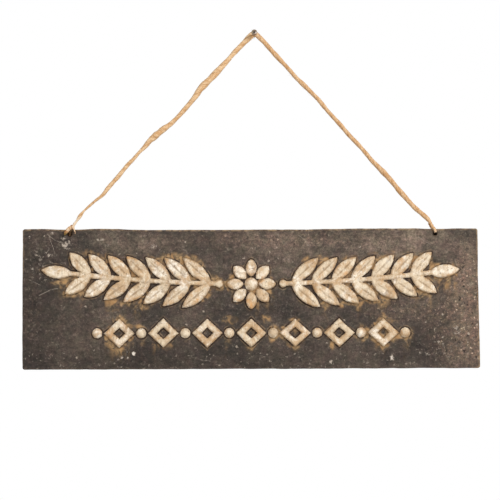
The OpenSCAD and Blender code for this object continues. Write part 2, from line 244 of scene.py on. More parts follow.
# The same strands with each slub and bend of the loosely spun jute, as x, z and radius: flat
# and thin above the left tie, and pressed to a sharp fold over the shank.
slubs = [
    LEFT_END, (-178.8, -187.6, 1.05), (-176.2, -183.8, 1.8), (-174.6, -181.4, 1.75),
    (-172, -178, 1.15), (-169.6, -175.6, 1.1), (-165, -171.5, 1.2), (-158.9, -166.2, 1.3),
    (-152.5, -161.2, 1.7), (-147.6, -154.8, 2.1), (-142.4, -148.7, 2), (-137, -142.7, 2.2),
    (-132, -136.4, 2), (-126.9, -130.3, 1.9), (-121.2, -124.5, 1.75), (-116, -118.4, 1.7),
    (-110.3, -112.7, 2.2), (-105.2, -106.4, 2.7), (-101.8, -103.6, 3), (-98.6, -100.6, 3.35),
    (-96.2, -98.7, 2.85), (-93, -96, 3), (-89, -93, 2.95), (-84.5, -89.8, 2.3),
    (-80.4, -85.9, 2.2), (-74.7, -80, 2.2), (-69.3, -73.9, 2.5), (-64.1, -67.7, 2.3),
    (-59.1, -61.4, 2.8), (-54.6, -54.5, 3.3), (-49.1, -48.7, 3.3), (-43.3, -43, 3.3),
    (-37.7, -37.1, 3.1), (-32.3, -31.2, 2.8), (-26.7, -25.2, 2.5), (-21.5, -19, 2.4),
    (-15.9, -13.1, 2.5), (-10.2, -7.3, 2.65), (-4.6, -1.6, 2.9), (-1.8, 1.1, 2.75), (0.2, 2, 2.6),
    (2, 1.2, 2.6), (4.9, -1.4, 2.5), (10.4, -6.9, 2.3), (15.7, -13, 2.3), (21.1, -19.1, 2.4),
    (26.6, -25.1, 2.2), (32.1, -31, 2), (37.4, -37, 2.1), (42.7, -43.2, 2.1), (48.6, -48.8, 2.3),
    (54.3, -54.5, 2.2), (60, -60.2, 1.9), (65.6, -66, 2.2), (70.6, -72.4, 2), (75.8, -78.6, 1.9),
    (81.3, -84.6, 2), (86.7, -90.6, 2.2), (91.9, -96.8, 2.1), (97.2, -102.9, 2),
    (102.9, -108.7, 2.1), (108.3, -114.6, 2.1), (113.5, -120.8, 2.1), (118.6, -127.1, 2.1),
    (124.3, -132.8, 2.5), (129.9, -138.6, 2.8), (135.4, -144.5, 2.6), (140.6, -150.7, 2.4),
    (145.6, -157, 2.5), (151, -163, 2.6), (156.3, -169.1, 2.3), (161.8, -174.9, 2.3),
    (168, -180.2, 2.4), (174, -185.6, 2.2), RIGHT_END,
]
drawn_line, _ = evenly(spline(hung(slubs), 8), 0.75)
points, faces, values = two_ply(drawn_line, lay=26, loose=0.05)
x, _, z = points.T
# the right strand is the browner one, and the left one is frayed pale above its tie
values["darkened"] = 0.26 * np.clip((x + 5) / 20, 0, 1)
values["pale_and_highlit"] = 0.6 * np.clip((-z - 182.5) / 3.5, 0, 1) * (x < 0)
strands = piece("twine_strands", points, faces, values)


def tone(red, green, blue):
    """A colour as it shows on a screen, from 0 to 255, as the linear one that a shader takes."""
    parts = [c / 255 for c in (red, green, blue)]
    return (*[c / 12.92 if c <= 0.04045 else ((c + 0.055) / 1.055) ** 2.4 for c in parts], 1)


# The shader functions add their nodes to tree, which is the material or group being made.
def feed(made, inputs):
    """A node with its inputs set, or linked where given a socket."""
    for key, value in inputs.items():
        if isinstance(value, bpy.types.NodeSocket):
            tree.links.new(value, made.inputs[key])
        else:
            made.inputs[key].default_value = value
    return made


def node(kind, inputs=(), **settings):
    made = tree.nodes.new("ShaderNode" + kind)
    for key, value in settings.items():
        setattr(made, key, value)
    return feed(made, dict(inputs))


def attribute(name, out="Fac"):
    return node("Attribute", attribute_name=name).outputs[out]


def noise(vector, scale, detail=4.0, rough=0.55, warp=0.0):
    return node("TexNoise", {
        "Vector": vector, "Scale": scale, "Detail": detail, "Roughness": rough, "Distortion": warp,
    }).outputs["Fac"]


def between(value, low, high, to_low=0.0, to_high=1.0):
    """value taken smoothly from the span low..high to the span to_low..to_high."""
    return node("MapRange", {
        "Value": value, "From Min": low, "From Max": high, "To Min": to_low, "To Max": to_high,
    }, interpolation_type="SMOOTHSTEP").outputs["Result"]


def maths(operation, *values):
    return node("Math", enumerate(values), operation=operation).outputs["Value"]


def times(first, *others):
    """The product of some values."""
    for other in others:
        first = maths("MULTIPLY", first, other)
    return first


def mapped(vector, scale, turn=0.0):
    """A vector turned about Y and scaled, for a noise that is longer one way."""
    return node("Mapping", {"Vector": vector, "Rotation": (0, turn, 0), "Scale": scale}).outputs[0]


def tinted(share, below, above, mode="MIX"):
    made = node("Mix", {0: share, 6: below, 7: above}, data_type="RGBA", blend_type=mode)
    return made.outputs[2]


def layered(under, *layers):
    """Colours laid one by one over under, each followed by the shares that it is laid on by."""
    for colour, *shares in layers:
        under = tinted(times(*shares), under, tone(*colour))
    return under


def bumps(height, strength, distance):
    return node("Bump", {"Strength": strength, "Distance": distance, "Height": height}).outputs[0]


def new_material(name):
    """A material of one principled surface, with its tree and that surface's node."""
    material = bpy.data.materials.new(name)
    material.use_nodes = True
    made = material.node_tree
    made.nodes.clear()
    surface = made.nodes.new("ShaderNodeBsdfPrincipled")
    out = made.nodes.new("ShaderNodeOutputMaterial")
    made.links.new(surface.outputs[0], out.inputs[0])
    return material, made, surface


def new_group(name, numbers, gives):
    """A shader node group that takes a vector and some numbers, with its sockets and its end."""
    group = bpy.data.node_groups.new(name, "ShaderNodeTree")
    group.interface.new_socket("Vector", in_out="INPUT", socket_type="NodeSocketVector")
    for label in numbers:
        group.interface.new_socket(label, in_out="INPUT", socket_type="NodeSocketFloat")
    kind = {"Mask": "NodeSocketFloat", "Color": "NodeSocketColor"}[gives]
    group.interface.new_socket(gives, in_out="OUTPUT", socket_type=kind)
    return group, group.nodes.new("NodeGroupInput").outputs, group.nodes.new("NodeGroupOutput")


def use(group, vector, *numbers):
    """What a group gives where it is placed in a material."""
    return node("Group", enumerate((vector, *numbers)), node_tree=group).outputs[0]


# Blotches: a soft-edged mask of irregular patches, for stains, bloom and worn places.
blotches, inside, ends = new_group("blotches", ("Scale", "Cover", "Softness", "Breakup"), "Mask")
tree = blotches
patch = noise(inside["Vector"], inside["Scale"], 7.0, inside["Breakup"], 0.6)
# a cover of 0.5 covers about half; the noise keeps within 0.25 and 0.75
level = maths("MULTIPLY_ADD", inside["Cover"], -0.5, 0.75)
patch_low = maths("SUBTRACT", level, inside["Softness"])
patch_high = maths("ADD", level, inside["Softness"])
feed(ends, {"Mask": between(patch, patch_low, patch_high)})

# The jute's finish: pale tan fibres laid along each ply, with painted shade darkening the crease
# between plies.
jute, tree, surface = new_material("jute_twine")
fibre_at = attribute("fibre", "Vector")
hair = noise(mapped(fibre_at, (1.0, 1.0, 0.09)), 5.2, 3, 0.6, 0.3)
bundle = noise(mapped(fibre_at, (0.35, 0.35, 0.22)), 1.0, 3, 0.55)
tan = tinted(between(bundle, 0.33, 0.66), tone(208, 162, 112), tone(232, 198, 156))
jute_colour = layered(
    tan,
    ((166, 116, 70), between(hair, 0.32, 0.5, 0.75, 0)),
    ((244, 221, 190), between(hair, 0.55, 0.72, 0, 0.8)),
    # painted shade: darker in the crease between the two plies
    ((142, 94, 52), between(attribute("crown"), 0.0, 0.3, 0.5, 0.0)),
    ((150, 102, 62), 0.6, use(blotches, fibre_at, 0.3, 0.2, 0.05, 0.6)),
    # a darker brown on the right strand, also painted shade on the left tail's outer side; then
    # paler fibre, also a painted highlight at the left tail's bend
    ((160, 110, 64), attribute("darkened")),
    ((243, 226, 202), attribute("pale_and_highlit")),
)
feed(surface, {
    "Base Color": jute_colour, "Roughness": 0.9, "Specular IOR Level": 0.15,
    "Sheen Weight": 0.12, "Sheen Roughness": 0.5, "Normal": bumps(hair, 0.75, 0.00035),
})

strands.data.materials.append(jute)
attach(strands, "twine")
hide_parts("hanging_twine")


# Loose fibres that stand out of the spun jute, each a thin curved hair rooted in the twine and
# drawn as a few rings of three points.
HAIR_RINGS = 6


def hairs(line, count, longest, thickness=0.07, from_end=0.0):
    """count hairs rooted in a cord along line, none nearer to its ends than from_end."""
    line, at = evenly(line, 0.75)
    t, n, b = carried_frames(line[:, :3])
    parts = []
    for _ in range(count):
        i = int(np.interp(rng.uniform(from_end, at[-1] - from_end), at, np.arange(len(at))))
        turn = rng.uniform(0, 2 * np.pi)
        out = np.cos(turn) * n[i] + np.sin(turn) * b[i]
        way = t[i] * rng.choice([-1, 1])
        length = longest * rng.uniform(0.35, 1) ** 1.5
        lift = rng.uniform(0.25, 0.75)
        curl = np.cross(way, out) * rng.uniform(-0.5, 0.5)
        root = line[i, :3] + out * line[i, 3] * 0.72
        u = np.linspace(0, 1, HAIR_RINGS)[:, None]
        hair_line = root + length * (
            way * u * (1 - 0.3 * u) + out * lift * (u - 0.45 * u**2) + curl * u**2
        )
        _, hn, hb = carried_frames(hair_line)
        taper = thickness * (1 - 0.7 * u[:, 0])
        ring = [
            hair_line + taper[:, None] * (math.cos(a) * hn + math.sin(a) * hb)
            for a in (0, 2 * math.pi / 3, 4 * math.pi / 3)
        ]
        points = np.stack(ring, 1).reshape(-1, 3)
        faces = [
            (3 * j + k, 3 * j + (k + 1) % 3, 3 * j + 3 + (k + 1) % 3, 3 * j + 3 + k)
            for j in range(HAIR_RINGS - 1)
            for k in range(3)
        ]
        faces += [(2, 1, 0), tuple(range(len(points) - 3, len(points)))]
        along = np.repeat(u[:, 0] * length, 3)
        fibre = np.stack([0 * along + turn, 0 * along, along + 40 * turn], 1)
        parts.append((points, faces, {"crown": 0 * along + 0.8, "fibre": fibre}))
    return joined(parts)


fuzz = piece("twine_fuzz", *hairs(strand_line, count=260, longest=5.5, from_end=6.0))
fuzz.data.materials.append(jute)
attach(fuzz, "twine")

strand_path = strand_line[::8, :3]
strand_path = np.vstack([strand_path, strand_line[-1:, :3]]) * MM

# The nail: a clout nail with rolled grip rings, its head and the shank outside the wall browned
# by rust, the stretch inside the wall still bright.
rust, inside, ends = new_group("rust_colour", ("Scale",), "Color")
tree = rust
bloom = node("ValToRGB", {"Fac": noise(inside["Vector"], inside["Scale"], 6, 0.65, 0.4)})
stops = bloom.color_ramp.elements
stops[0].position, stops[0].color = 0.3, tone(52, 38, 30)
stops[1].position, stops[1].color = 0.74, tone(170, 112, 66)
stops.new(0.5).color = tone(104, 68, 44)
feed(ends, {"Color": bloom.outputs["Color"]})

nail_finish, tree, surface = new_material("rusty_nail")
spot = node("TexCoord").outputs["Object"]
# the head's middle stands this much above the shank's axis at the wall, in metres
HEAD_Z = 0.0011
across_nail = node("VectorMath", {0: spot, 1: (1, 0, 1)}, operation="MULTIPLY").outputs[0]


def near_head(x, z, reach):
    """1 within about reach metres of a point of the head, which is given from its middle."""
    off = node("VectorMath", {0: across_nail, 1: (x, 0, z + HEAD_Z)}, operation="DISTANCE")
    return between(off.outputs["Value"], 0.5 * reach, reach, 1, 0)


bare = use(blotches, spot, 420, 0.34, 0.05, 0.6)
in_wall = between(node("SeparateXYZ", {0: spot}).outputs["Y"], -0.0012, 0.0003)
bright = maths("MAXIMUM", times(bare, 0.8), in_wall)
nail_colour = layered(
    use(rust, spot, 900),
    ((128, 120, 112), bare),
    ((96, 82, 66), 0.7, use(blotches, spot, 260, 0.5, 0.1, 0.5)),
    # on the head: a dull face, a worn rim, a painted glint of highlight at its lower right, a brown
    # patch below it, a greenish patch and a dark spot in its middle
    ((118, 104, 86), 0.6, near_head(0, 0, 0.005)),
    ((178, 160, 142), 0.7, maths("SUBTRACT", near_head(0, 0, 0.006), near_head(0, 0, 0.0042))),
    ((206, 192, 180), 0.8, near_head(0.0011, -0.0008, 0.0014)),
    ((120, 80, 46), 0.7, near_head(0.0012, -0.0027, 0.002)),
    ((136, 124, 98), 0.6, near_head(-0.0016, 0.0001, 0.0016)),
    ((28, 20, 16), 0.92, near_head(-0.0001, 0.0001, 0.0016)),
    ((250, 250, 248), in_wall),
)
feed(surface, {
    "Base Color": nail_colour, "Roughness": between(bright, 0, 1, 0.75, 0.35), "Metallic": bright,
    "Normal": bumps(noise(spot, 1400.0, 5, 0.6), 0.6, 0.0002),
})
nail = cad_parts["nail"]
nail.data.materials.clear()
nail.data.materials.append(nail_finish)

# The plate: one sheet of 0.8 mm steel, pressed up from behind into laurel branches, a rosette
# and a row of lozenges and beads, its edges folded back flat and two holes punched near its top.
# On it u runs across from its middle and v up from its top edge, in millimetres.
PLATE_W, PLATE_H, CORNER_R, SHEET, HEM = 457.0, 140.0, 2.5, 0.8, 8.0
PLATE_X, TOP_Z = -3.8, -196.0
HOLE_R, HOLE_DROP = 2.0, 5.0
HOLES_U = (-PLATE_W / 2 + 47.0, PLATE_W / 2 - 43.0)
RELIEF, SHELF, SHELF_W, CROWN_H, RIB_DEPTH = 3.2, 0.5, 1.8, 0.45, 0.4
ROSETTE_DROP, BOSS_R, PETAL_FROM, PETAL_L, PETAL_W = 55, 6.5, 7.5, 17.5, 11
STEM_R, STEM_W, STEM_FROM, STEM_TO, BUD_R = 1500, 5, 32, 186, 4
LEAF_W, RIB_W, LEAF_PAIRS, LEAF_PITCH, END_LEAF_FROM, END_LEAF_L = 13, 1.6, 7, 20, 178, 32
ROW_DROP, ROW_PITCH, LOZENGE_W, LOZENGE_H, BAND_W, BEAD_R = 104, 44, 31, 29, 6.5, 5.0
# each leaf as its foot's distance along the stem, its turn in degrees and its length
leaf_places = [
    (40 + i * LEAF_PITCH, side * 41, 38 - i) for i in range(LEAF_PAIRS) for side in (-1, 1)
]


def slope(value, low, high):
    """0 below low, 1 above high, smooth between."""
    t = np.clip((value - low) / (high - low), 0, 1)
    return t * t * (3 - 2 * t)


def cloud(u, v, size, seed, layers=4):
    """Soft random noise over the plate from 0 to 1, in patches of about size millimetres."""
    total, weight = np.zeros(u.shape), 0
    for k in range(layers):
        cells = np.random.default_rng(seed + k).uniform(0, 1, (64, 64))
        a, b = u * 2**k / size + 7.3 * k, v * 2**k / size + 3.1 * k
        i, j = np.floor(a).astype(int), np.floor(b).astype(int)
        f, g = a - i, b - j
        f, g = f * f * (3 - 2 * f), g * g * (3 - 2 * g)
        c = [cells[(i + di) % 64, (j + dj) % 64] for di in (0, 1) for dj in (0, 1)]
        value = (c[0] * (1 - g) + c[1] * g) * (1 - f) + (c[2] * (1 - g) + c[3] * g) * f
        total += value / 1.7**k
        weight += 1 / 1.7**k
    return total / weight


def leaf_distance(x, y, length, width):
    """Distance from the outline of a leaf that starts at 0, 0 and runs along +x."""
    radius = (length**2 + width**2) / (4 * width)
    drop = radius - width / 2
    half = length / 2
    px, py = np.abs(y), np.abs(x - half)
    tip = (py - half) * drop > px * half
    return np.where(tip, np.hypot(px, py - half), np.hypot(px + drop, py) - radius)


def on_branch(u, v, along, turn):
    """u, v as seen from the stem at that distance from the rosette, turned by turn degrees."""
    bend = math.asin(along / STEM_R)
    x, y = u - along, v - STEM_R * (1 - math.cos(bend))
    a = bend + math.radians(turn)
    return x * math.cos(a) + y * math.sin(a), -x * math.sin(a) + y * math.cos(a)


def ornament(u, v):
    """Distances from the flat-topped forms, from the leaves' ribs, and from the domes' centres."""
    x, y = np.abs(u), v + ROSETTE_DROP
    stem = np.abs(np.hypot(x, y - STEM_R) - STEM_R) - STEM_W / 2
    forms = [
        np.maximum(stem, np.maximum(STEM_FROM - x, x - STEM_TO)),
        np.hypot(*on_branch(x, y, STEM_FROM, 0)) - BUD_R,
        leaf_distance(*on_branch(x, y, END_LEAF_FROM, 0), END_LEAF_L, LEAF_W),
    ]
    ribs = [np.full(u.shape, 9.0)]
    for along, turn, length in leaf_places:
        lx, ly = on_branch(x, y, along, turn)
        forms.append(leaf_distance(lx, ly, length, LEAF_W))
        ribs.append(leaf_distance(lx - 0.22 * length, ly, 0.66 * length, RIB_W))
    for i in range(8):
        a = i * math.pi / 4
        px, py = u * math.cos(a) + y * math.sin(a), -u * math.sin(a) + y * math.cos(a)
        forms.append(leaf_distance(px - PETAL_FROM, py, PETAL_L, PETAL_W))
    w = v + ROW_DROP
    for i in range(-3, 4):
        diamond = np.abs(u - ROW_PITCH * i) * LOZENGE_H + np.abs(w) * LOZENGE_W
        diamond = (diamond - LOZENGE_W * LOZENGE_H / 2) / math.hypot(LOZENGE_W, LOZENGE_H)
        forms.append(np.maximum(diamond, -diamond - BAND_W))
    # the press has left each outline a little uneven
    uneven = 0.9 * (cloud(u + 300, v + 200, 11, 113, 3) - 0.5)
    domes = [(np.hypot(u, y), BOSS_R)]
    domes += [(np.hypot(u - ROW_PITCH * (i + 0.5), w), BEAD_R) for i in range(-4, 4)]
    return np.min(forms, axis=0) + uneven, np.min(ribs, axis=0), domes


# The plate's grid: fine steps near its edges and round the holes, even ones elsewhere.
FOLD_LINES = [0, 0.06, 0.23, 0.5]
FINE, EVEN = 0.7, 0.86
EDGE_RUN, HOLE_RUN = SHEET + 12 * FINE, 6 * FINE


def grid_lines(start, stop, holes):
    """Lines from start to stop, closest over the two folds, one through each hole's centre."""
    marks = [(start + SHEET, FINE), (start + EDGE_RUN, EVEN)]
    for hole in holes:
        marks += [(hole - HOLE_RUN, FINE), (hole + HOLE_RUN, EVEN)]
    marks += [(stop - EDGE_RUN, FINE), (stop - SHEET, 0)]
    lines = [start + e for e in FOLD_LINES]
    for (here, step), (there, _) in zip(marks, marks[1:]):
        count = max(1, round((there - here) / step))
        lines += list(np.linspace(here, there, count, endpoint=False))
    return np.array(lines + [stop - SHEET] + [stop - e for e in FOLD_LINES[::-1]])


half_w = PLATE_W / 2
u_lines = grid_lines(-half_w, half_w, HOLES_U)
v_lines = -grid_lines(0, PLATE_H, ())
u, v = np.meshgrid(u_lines, v_lines, indexing="ij")
columns, rows = u.shape
from_edge = np.minimum(np.minimum(u + half_w, half_w - u), np.minimum(-v, v + PLATE_H))

# Each corner's square of grid is drawn round to its quarter circle; the hem is mitred there.
a = np.abs(u) - (half_w - CORNER_R)
b = np.abs(v + PLATE_H / 2) - (PLATE_H / 2 - CORNER_R)
seam = (np.abs(a - b) < 1e-6) & (from_edge < HEM)
corner = (a > 0) & (b > 0)
big, small = np.maximum(a, b)[corner], np.minimum(a, b)[corner]
turn = math.pi / 4 * small / big
turn = np.where(a[corner] >= b[corner], turn, math.pi / 2 - turn)
u[corner] = np.sign(u[corner]) * (half_w - CORNER_R + big * np.cos(turn))
down = np.sign(v[corner] + PLATE_H / 2) * (PLATE_H / 2 - CORNER_R + big * np.sin(turn))
v[corner] = down - PLATE_H / 2

# Points near the foot, the shoulder or the rear wall of a raised form move onto that line.
for line_at in (0.25, -0.55, -1.35):
    off = ornament(u, v)[0] - line_at
    gu = (ornament(u + 0.1, v)[0] - ornament(u - 0.1, v)[0]) / 0.2
    gv = (ornament(u, v + 0.1)[0] - ornament(u, v - 0.1)[0]) / 0.2
    move = np.where((np.abs(off) < 0.4) & (np.hypot(gu, gv) > 0.9), -off, 0)
    u += move * gu
    v += move * gv

# Each hole: the grid's third ring round it becomes its edge, and what lies inside goes.
RING_R = {3: HOLE_R, 4: 2.32, 5: 2.95}
at_hole = np.zeros(u.shape, int)
v_middle = int(np.argmin(np.abs(v_lines + HOLE_DROP)))
u_middles = [int(np.argmin(np.abs(u_lines - hole_u))) for hole_u in HOLES_U]
for hole_u, u_middle in zip(HOLES_U, u_middles):
    for i in range(-5, 6):
        for j in range(-5, 6):
            k = max(abs(i), abs(j))
            place = (u_middle + i, v_middle + j)
            at_hole[place] = max(k, 1)
            if k >= 3:
                big_side, small_side = (i, j) if abs(i) >= abs(j) else (j, i)
                turn = math.pi / 4 * small_side / big_side
                c, s = math.cos(turn) * np.sign(big_side), math.sin(turn) * np.sign(big_side)
                if abs(i) < abs(j):
                    c, s = s, c
                share = (k - 3) / 3
                u[place] = hole_u + (1 - share) * RING_R[k] * c + share * i * FINE
                v[place] = -HOLE_DROP - (1 - share) * RING_R[k] * s - share * j * FINE

# The height of the front and of the hollow behind it, over the flat sheet.
forms, ribs, domes = ornament(u, v)
edge_h = np.clip(from_edge, 0, SHEET)
fold = np.sqrt(np.maximum(SHEET**2 - (SHEET - edge_h) ** 2, 0))
front = SHELF * slope(-forms, -SHELF_W - 0.35, -SHELF_W + 0.45)
front += (RELIEF - SHELF - CROWN_H) * slope(-forms, -0.3, 0.5)
front += CROWN_H * slope(-forms, 0.35, 1.7)
front -= RIB_DEPTH * slope(-ribs, -0.35, 0.35) * slope(-forms, 0.6, 1.2)
rear = RELIEF * slope(-forms, 0.6, 1.4)
dome_foot = np.full(u.shape, 50.0)
for reach, base in domes:
    ball = (base**2 + RELIEF**2) / (2 * RELIEF)
    cap = np.sqrt(np.maximum(ball**2 - reach**2, 0)) + RELIEF - ball
    front = np.where(reach < base, np.maximum(front, cap), front)
    hollow = np.sqrt(np.maximum((ball - SHEET) ** 2 - reach**2, 0)) + SHEET + RELIEF - ball
    rear = np.where(reach < ball - SHEET, np.maximum(rear, hollow), rear)
    dome_foot = np.minimum(dome_foot, reach - base)
rear = np.minimum(rear, front)

# Handling has left the sheet a little bowed and dented, and its edge uneven.
near_hole = np.minimum(*[np.hypot(u - h, v + HOLE_DROP) for h in HOLES_U])
free = slope(near_hole, 6, 26)
bow = free * (0.9 * (cloud(u, v, 90, 3, 2) - 0.5) + 0.35 * (cloud(u, v, 22, 9, 3) - 0.5))
flat_steps = slope(forms, 1.0, 3.0) * slope(dome_foot, 1.0, 3.0)
bow += free * flat_steps * 0.16 * (cloud(u, v, 6, 23, 3) - 0.5)
rim = free * (1 - slope(from_edge, 0, 7))
wobble_u = 0.7 * rim * (cloud(u, v, 15, 31, 3) - 0.5)
wobble_v = 0.8 * rim * (cloud(u, v, 17, 47, 3) - 0.5)
# the sheet was cut a little out of square: lower right corner out, top edge low in its middle
wobble_u += 1.4 * slope(-v, 40, 139) * slope(u, 60, 228) - 0.25 * slope(-u, 120, 228)
middle = slope(u, -135, -118) * slope(-u, -160, -10)
wobble_v += free * (0.55 - 0.95 * middle) * slope(v, -30, 0)
lip = np.where(at_hole == 3, 0.22, 0.0)
front_y = HANG_Y - fold - front + bow + lip
# the punch has drawn each hole's wall in towards the back, close round the twine
rear_u, rear_v = u + wobble_u, v + wobble_v
for hole_u in HOLES_U:
    burr = (at_hole == 3) & (np.abs(u - hole_u) < 4)
    rear_u = np.where(burr, hole_u + 0.55 * (u - hole_u), rear_u)
    rear_v = np.where(burr, 0.6 - HOLE_DROP + 0.55 * (v + HOLE_DROP), rear_v)
hem_back = slope(HEM + 0.35 - from_edge, 0, 0.7) * SHEET
hem_back = np.where(seam & (from_edge > 1), hem_back - 0.55, hem_back)
rear_y = HANG_Y + np.where(from_edge < SHEET, fold, hem_back) - rear + bow - lip
x, z = PLATE_X + u + wobble_u, TOP_Z + v + wobble_v

# One closed mesh of the front and the back, which share the points of the outer rim, and the
# walls of the holes.
number = np.arange(columns * rows).reshape(columns, rows)
on_rim = np.zeros(u.shape, bool)
on_rim[[0, -1], :] = True
on_rim[:, [0, -1]] = True
back_number = np.where(on_rim, number, number + columns * rows)
points = np.vstack([
    np.stack([x, front_y, z], 2).reshape(-1, 3),
    np.stack([PLATE_X + rear_u, rear_y, TOP_Z + rear_v], 2).reshape(-1, 3),
])
inner = (at_hole > 0) & (at_hole <= 3)
keep = ~(inner[:-1, :-1] & inner[1:, :-1] & inner[1:, 1:] & inner[:-1, 1:])
corners = [(slice(0, -1), slice(0, -1)), (slice(1, None), slice(0, -1)),
           (slice(1, None), slice(1, None)), (slice(0, -1), slice(1, None))]
front_faces = np.stack([number[c][keep] for c in corners[::-1]], 1)
back_faces = np.stack([back_number[c][keep] for c in corners], 1)
around_hole = [(k, 3) for k in range(-3, 3)]
for _ in range(3):
    around_hole += [(j, -i) for i, j in around_hole[-6:]]
wall_faces = []
for u_middle in u_middles:
    ring = [(u_middle + i, v_middle + j) for i, j in around_hole]
    for one, two in zip(ring, ring[1:] + ring[:1]):
        wall_faces.append((number[one], number[two], back_number[two], back_number[one]))
faces = np.vstack([front_faces, back_faces, wall_faces])
finish_of = np.repeat([0, 1, 2], [len(front_faces), len(back_faces), len(wall_faces)])
used = np.zeros(len(points), bool)
used[faces] = True
renumber = np.cumsum(used) - 1

# Where rust has seeped: it creeps a little above the raised forms and runs down below them.
STEP = 1.0
su, sv = np.meshgrid(
    np.arange(-half_w, half_w, STEP), np.arange(0, -PLATE_H, -STEP), indexing="ij")


def to_forms(p, q):
    flat, _, round_ones = ornament(p, q)
    return np.minimum(flat, np.min([reach - base for reach, base in round_ones], axis=0))


clear = to_forms(su, sv)
foot_above = (to_forms(su, sv + 2.4) < 0) & (clear > 0)
source = slope(cloud(su, sv, 12, 61, 3), 0.54, 0.7) * foot_above
seep = np.zeros(su.shape)
ease = 0.8 + 0.15 * cloud(su, sv * 0.2, 4, 67, 2)
for j in range(1, su.shape[1]):
    seep[:, j] = np.maximum(source[:, j], seep[:, j - 1] * ease[:, j])
spread = 2 + 9 * cloud(su, sv, 14, 83, 4)
crust = slope(-clear, -spread, 0) * slope(cloud(su, sv, 30, 71, 4), 0.5, 0.68)
seep = np.maximum(0.85 * seep, 1.05 * crust)
# the map is read for each point of the plate, smoothly between its own points
i = np.clip((u + half_w) / STEP, 0, seep.shape[0] - 1.001)
j = np.clip(-v / STEP, 0, seep.shape[1] - 1.001)
i0, j0 = i.astype(int), j.astype(int)
f, g = i - i0, j - j0
upper = seep[i0, j0] * (1 - f) + seep[i0 + 1, j0] * f
lower = seep[i0, j0 + 1] * (1 - f) + seep[i0 + 1, j0 + 1] * f
seeped = upper * (1 - g) + lower * g


def blobs(places):
    """For each place, as (u, v, width, height, strength): that strength there, fading to 0."""
    return [
        strong * (1 - slope(np.hypot((u - at_u) / wide, (v - at_v) / high), 0.2, 1.0))
        for at_u, at_v, wide, high, strong in places
    ]


def added(*places):
    """The sum of the blobs at places, held within 0 and 1."""
    return np.clip(sum(blobs(places)), 0, 1)


# Patches of thick ochre crust.
crusts = [
    (-75, -29, 25, 8, 1.1), (-66, -40, 6, 11, 1), (-15, -42, 8, 6, 0.8), (119, -37, 30, 7, 1.1),
    (96, -32, 9, 8, 0.9), (137, -93, 15, 6, 1.1), (-84, -117, 8, 6, 1), (82, -116, 6, 8, 0.9),
    (126, -117, 6, 7, 0.9), (202, -38, 13, 6, 1), (170, -68, 15, 6, 0.8), (157, -106, 9, 9, 1.1),
    (-190, -53, 14, 5, 1), (-22, -111, 6, 8, 0.9), (-138, -92, 14, 6, 0.8), (60, -38, 9, 7, 0.7),
    (-60, -70, 14, 6, 0.8), (88, -72, 12, 5, 0.7), (44, -91, 9, 5, 0.7), (-110, -77, 14, 6, 0.9),
    (-22, -91, 12, 7, 0.9), (14, -90, 10, 6, 0.85), (134, -76, 9, 5, 0.75),
]
patchy = 0.4 + 1.2 * (cloud(u, v, 9, 91, 3) - 0.25)
seeped = np.maximum(seeped, np.max(blobs(crusts), axis=0) * patchy)
# Marks where the paint is bruised or gone.
bruises = [
    (-222, -8, 2, 2.4, 0.8), (-199, -4, 2.2, 2.6, 0.8), (-188, -9, 4.4, 2.2, 1),
    (-186, -15, 5.2, 4.4, 0.95), (-181, -15.5, 2.4, 2.4, 0.7), (-184, -19, 5.4, 1.6, 0.75),
    (-215, -14, 4.4, 2.8, 0.45), (-215, -23, 5, 3, 0.35), (-205, -23, 3.2, 2.4, 0.6),
    (-202, -26, 2.8, 3.4, 0.7), (-224, -29.5, 3.4, 1.6, 0.7), (-151, -10.6, 8, 2, 0.6),
    (-145, -15.6, 5, 3, 0.45), (-149, -23, 3, 3, 0.4), (-178, -9.6, 2.4, 1.4, 0.4),
    (-219, -39, 3.2, 2.4, 0.6), (-117.7, -124.2, 2.6, 2.9, 2.4), (-129.8, -127.8, 2.4, 2.2, 1.2),
    (-123.8, -128.3, 1.5, 1.5, 1.6), (140.2, -129.3, 2.6, 4.4, 1.6), (80, -133.3, 3.2, 3.2, 0.9),
    (206.5, -104, 6, 5, 0.5), (167.3, -125, 4.6, 3, 0.5), (202.4, -117, 6, 2.4, 0.5),
    (-97.9, -17.2, 9, 4.6, 0.42), (205, -99, 5, 3, 0.6), (213, -111, 4, 3, 0.5),
    (176, -126, 5, 2.4, 0.45), (196, -128, 5, 3, 0.4), (211, -122, 4, 3.4, 0.4),
    (-104, -13, 6, 3, 0.38), (-91, -20, 4, 2.4, 0.4), (58, -16, 3, 2, 0.55),
    (-110, -6, 14, 1.8, 0.4), (-158, -121, 2.6, 2, 0.4), (-201, -128, 2.6, 2, 0.4),
]
# Scored lines, each through its points.
scores = [
    [(-202, -8), (-198, -18), (-196, -28)], [(-204, -5), (-196, -11), (-189, -13)],
    [(-222, -50), (-208, -57)], [(-212, -66), (-200, -60), (-193, -59)], [(48, -6), (58, -14)],
    [(168, -8), (181, -16)], [(-64, -126), (-50, -131), (-41, -132)], [(205, -30), (211, -48)],
]
scored = np.full(u.shape, 99.0)
for line in scores:
    for (au, av), (bu, bv) in zip(line, line[1:]):
        du, dv = bu - au, bv - av
        t = np.clip(((u - au) * du + (v - av) * dv) / (du * du + dv * dv), 0, 1)
        scored = np.minimum(scored, np.hypot(u - au - t * du, v - av - t * dv))
# painted shadow round the twine where it crosses the edge, strong at the left hole and faint at the
# right
twine_shadow = np.max(blobs([
    (HOLES_U[0] + 1.3, -2.4, 4.4, 5, 1), (HOLES_U[1] - 2, -2, 3, 4, 0.1)]), axis=0)
# the edge is worn brown along the top and right, less at the left, hardly at the bottom
edge_worn = slope(v, -9, -4) + slope(u, 215, 222) + 0.5 * slope(-u, 215, 222) * slope(v, -70, -30)
